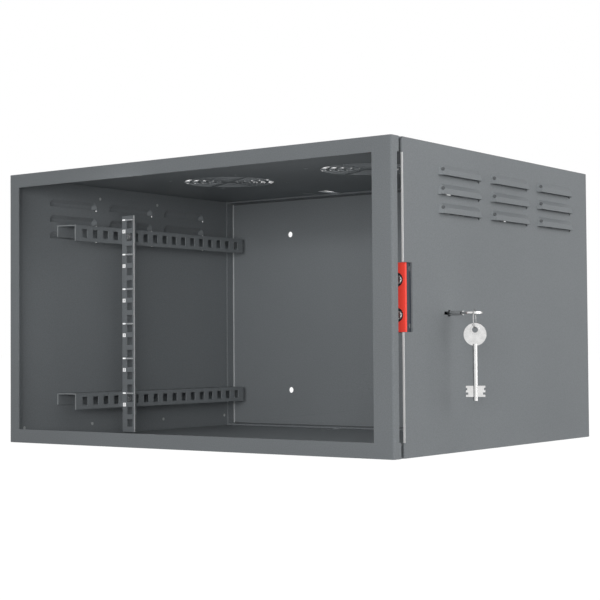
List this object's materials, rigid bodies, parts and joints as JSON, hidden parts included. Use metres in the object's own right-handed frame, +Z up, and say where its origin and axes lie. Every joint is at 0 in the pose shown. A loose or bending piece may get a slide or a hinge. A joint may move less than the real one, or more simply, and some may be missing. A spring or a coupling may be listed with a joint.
{
  "type": "wall mount rack",
  "caption": "Open-fronted sheet steel wall cabinet with rack rails on drilled brackets, louvred sides, fan grilles in the roof and a key lock that bolts a front panel sliding in from the side.",
  "frame": {"origin": "middle of the cabinet's underside", "axes": "+X to the right side with the lock, +Y to the wall, +Z up; the open front faces -Y"},
  "size_m": [0.5978, 0.44, 0.322],
  "materials": {
    "grey_paint": "semi-gloss powder coat",
    "lock_paint": "dark blue-grey enamel",
    "red_paint": "bright red enamel",
    "zinc": "zinc plated",
    "nickel": "bright nickel"
  },
  "bodies": {
    "case": {"front_frame": "grey_paint", "top_slide_guide": "grey_paint", "bottom_slide_guide": "grey_paint", "top_panel": "grey_paint", "bottom_panel": "grey_paint", "left_side_panel": "grey_paint", "right_side_panel": "grey_paint", "back_panel": "grey_paint", "bracket_upper_left": "grey_paint", "bracket_upper_right": "grey_paint", "bracket_lower_left": "grey_paint", "bracket_lower_right": "grey_paint", "rack_rail_left": "grey_paint", "rack_rail_right": "grey_paint", "rail_screws": "zinc", "rail_nuts": "zinc", "lock_case": "lock_paint", "lock_cover": "lock_paint", "lock_faceplate": "red_paint", "lock_studs": "zinc", "lock_nuts": "zinc", "lever_post": "zinc", "lever_springs": "zinc"},
    "bolt": {"lock_bolts": "nickel", "bolt_tail": "zinc"},
    "levers": {"levers": "zinc"},
    "key": {"lock_key": "nickel"},
    "ring": {"key_ring": "nickel"},
    "spare": {"spare_key": "nickel"}
  },
  "joints": [
    {"name": "key_turn", "type": "hinge", "parent": "case", "child": "key", "pos_m": [0.275, -0.1107, 0.14602], "axis": [1, 0, 0], "range_deg": [0, 360]},
    {"name": "bolt_throw", "type": "slide", "parent": "case", "child": "bolt", "axis": [0, -1, 0], "range_m": [0, 0.012]},
    {"name": "lever_lift", "type": "hinge", "parent": "case", "child": "levers", "pos_m": [0.24, -0.108, 0.17998], "axis": [-1, 0, 0], "range_deg": [0, 5], "stiffness_Nm_per_rad": 0.02, "springref_deg": -5.73, "deforming": ["lever_springs"]},
    {"name": "ring_swing", "type": "hinge", "parent": "key", "child": "ring", "pos_m": [0.30812, -0.11637, 0.1475], "axis": [0.3584, -0.9336, 0], "range_deg": [-8, 20]},
    {"name": "spare_swing", "type": "hinge", "parent": "ring", "child": "spare", "pos_m": [0.30812, -0.11637, 0.13039], "axis": [0.3584, -0.9336, 0], "range_deg": [-8, 30]}
  ],
  "couplings": [
    {"joint": "bolt_throw", "follows": "key_turn", "m_per_rad": 0.0019099}
  ]
}
